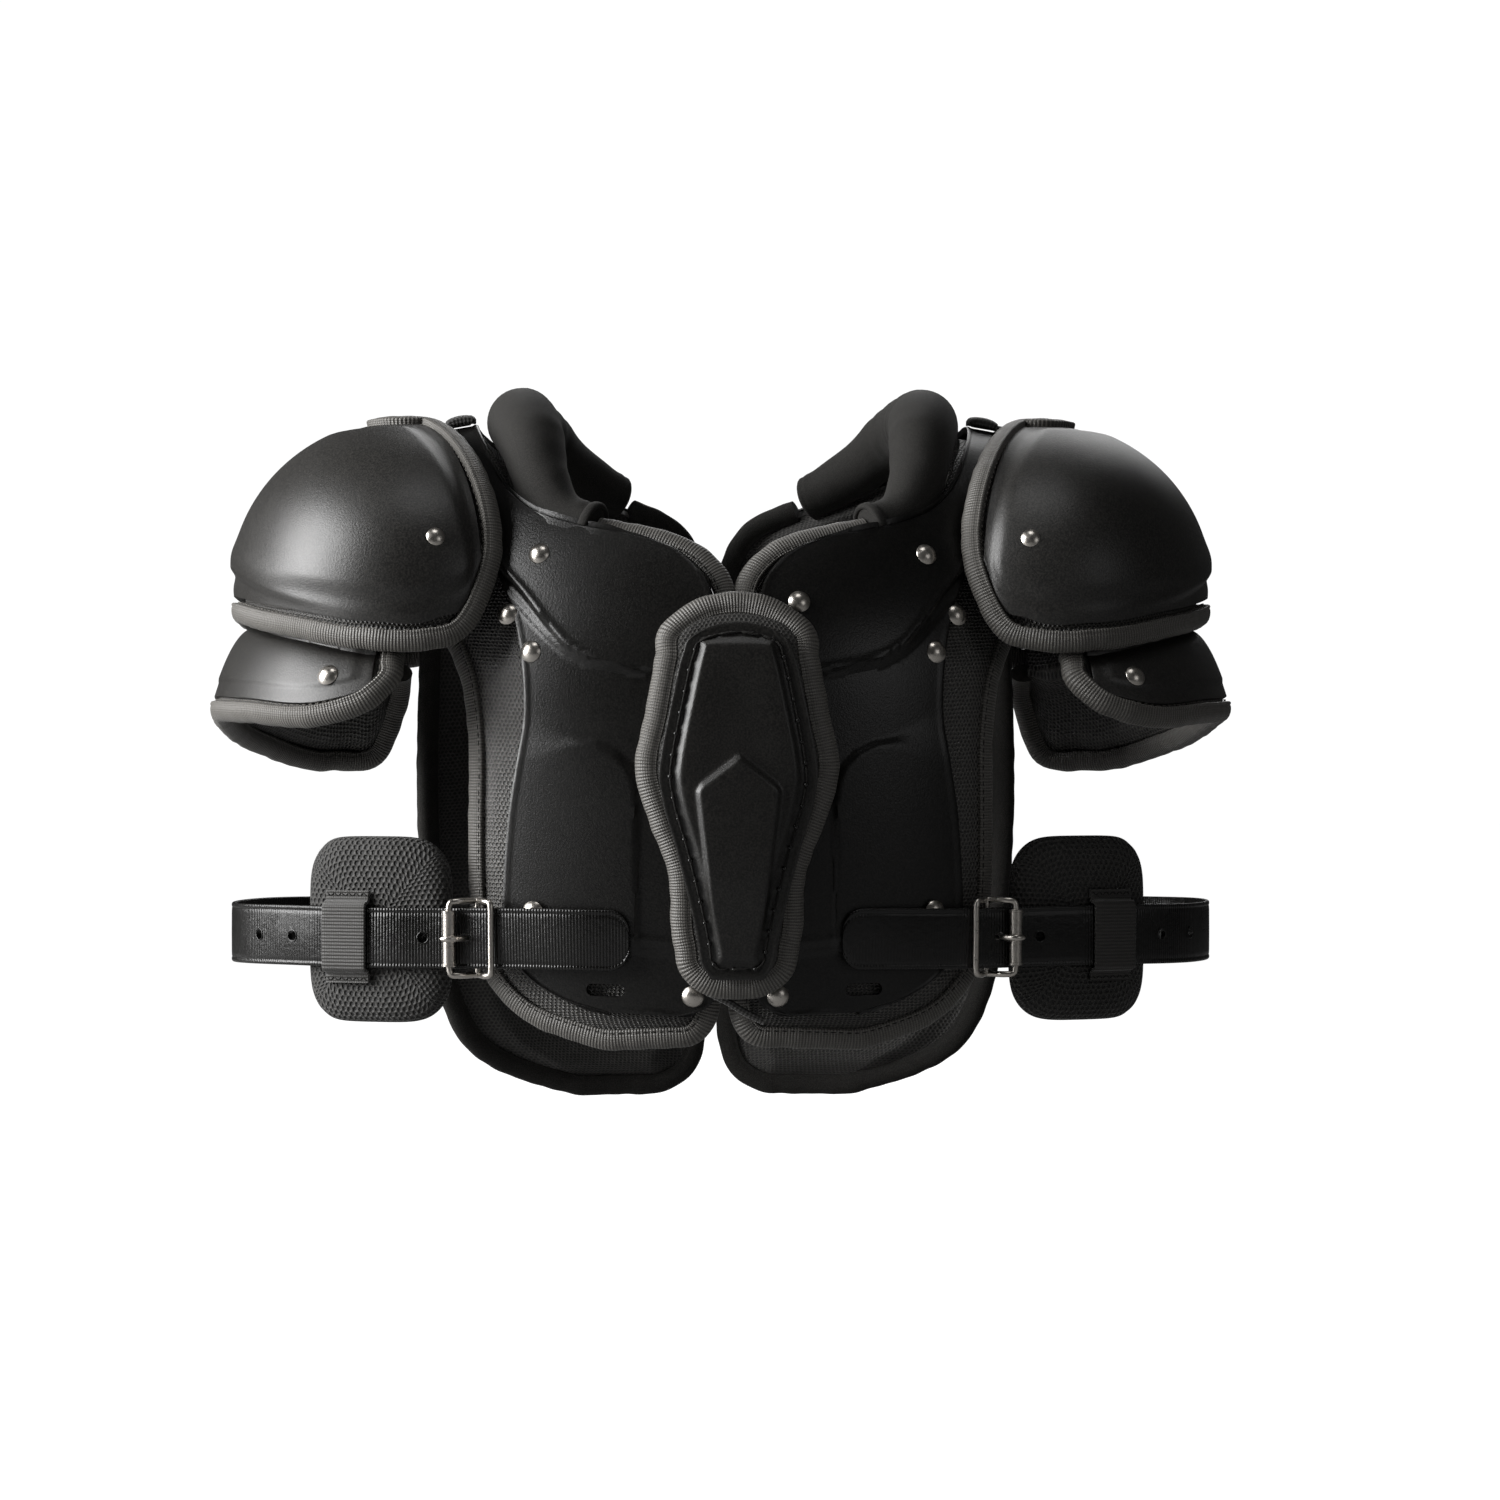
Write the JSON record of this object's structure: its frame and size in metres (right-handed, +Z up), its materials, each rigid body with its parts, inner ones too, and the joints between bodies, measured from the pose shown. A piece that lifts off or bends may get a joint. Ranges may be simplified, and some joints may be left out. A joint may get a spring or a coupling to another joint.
{
  "type": "football shoulder pad",
  "caption": "Youth football shoulder pad set in charcoal plastic and black mesh padding, with caps, epaulets, breastbone bumper and buckled side belts",
  "frame": {"origin": "Midway between the wearer's shoulders, level with the underside of the arches, where the set rests on the wearer", "axes": "+Z up, -Y towards the chest side, +X towards the wearer's left"},
  "size_m": [0.4344, 0.2519, 0.3097],
  "materials": {
    "shell": "satin moulded plastic with fine grain",
    "mesh": "air mesh over foam",
    "binding": "ribbed grosgrain edging",
    "fleece": "smooth fine fabric over foam",
    "vinyl": "glossy vinyl strap with fine ribs",
    "webbing": "woven webbing and elastic",
    "nickel": "polished nickel plate"
  },
  "bodies": {
    "root": {"arch_plate_right": "shell", "front_pad_right": "mesh", "back_pad_right": "mesh", "front_binding_right": "binding", "back_binding_right": "binding", "neck_roll_right": "fleece", "cap_shell_right": "shell", "cap_pad_right": "mesh", "cap_binding_right": "binding", "cap_hanger_right": "webbing", "cap_rivet_right": "nickel", "epaulet_shell_right": "shell", "epaulet_pad_right": "mesh", "epaulet_binding_right": "binding", "epaulet_rivet_right": "nickel", "belt_strap_right": "vinyl", "buckle_frame_right": "nickel", "buckle_roller_right": "nickel", "buckle_prong_right": "nickel", "buckle_tab_right": "vinyl", "side_pad_right": "mesh", "keeper_loop_right": "webbing", "clavicle_rivet_right": "nickel", "armhole_upper_rivet_right": "nickel", "armhole_lower_rivet_right": "nickel", "tab_rivet_right": "nickel", "hem_rivet_right": "nickel", "arch_plate_left": "shell", "front_pad_left": "mesh", "back_pad_left": "mesh", "front_binding_left": "binding", "back_binding_left": "binding", "neck_roll_left": "fleece", "cap_shell_left": "shell", "cap_pad_left": "mesh", "cap_binding_left": "binding", "cap_hanger_left": "webbing", "cap_rivet_left": "nickel", "epaulet_shell_left": "shell", "epaulet_pad_left": "mesh", "epaulet_binding_left": "binding", "epaulet_rivet_left": "nickel", "belt_strap_left": "vinyl", "buckle_frame_left": "nickel", "buckle_roller_left": "nickel", "buckle_prong_left": "nickel", "buckle_tab_left": "vinyl", "side_pad_left": "mesh", "keeper_loop_left": "webbing", "clavicle_rivet_left": "nickel", "armhole_upper_rivet_left": "nickel", "armhole_lower_rivet_left": "nickel", "tab_rivet_left": "nickel", "hem_rivet_left": "nickel", "sternum_rivet_left": "nickel", "sternum_plate": "shell", "sternum_pad": "mesh", "sternum_binding": "binding", "front_lace": "webbing", "back_bridge": "shell"}
  },
  "joints": []
}
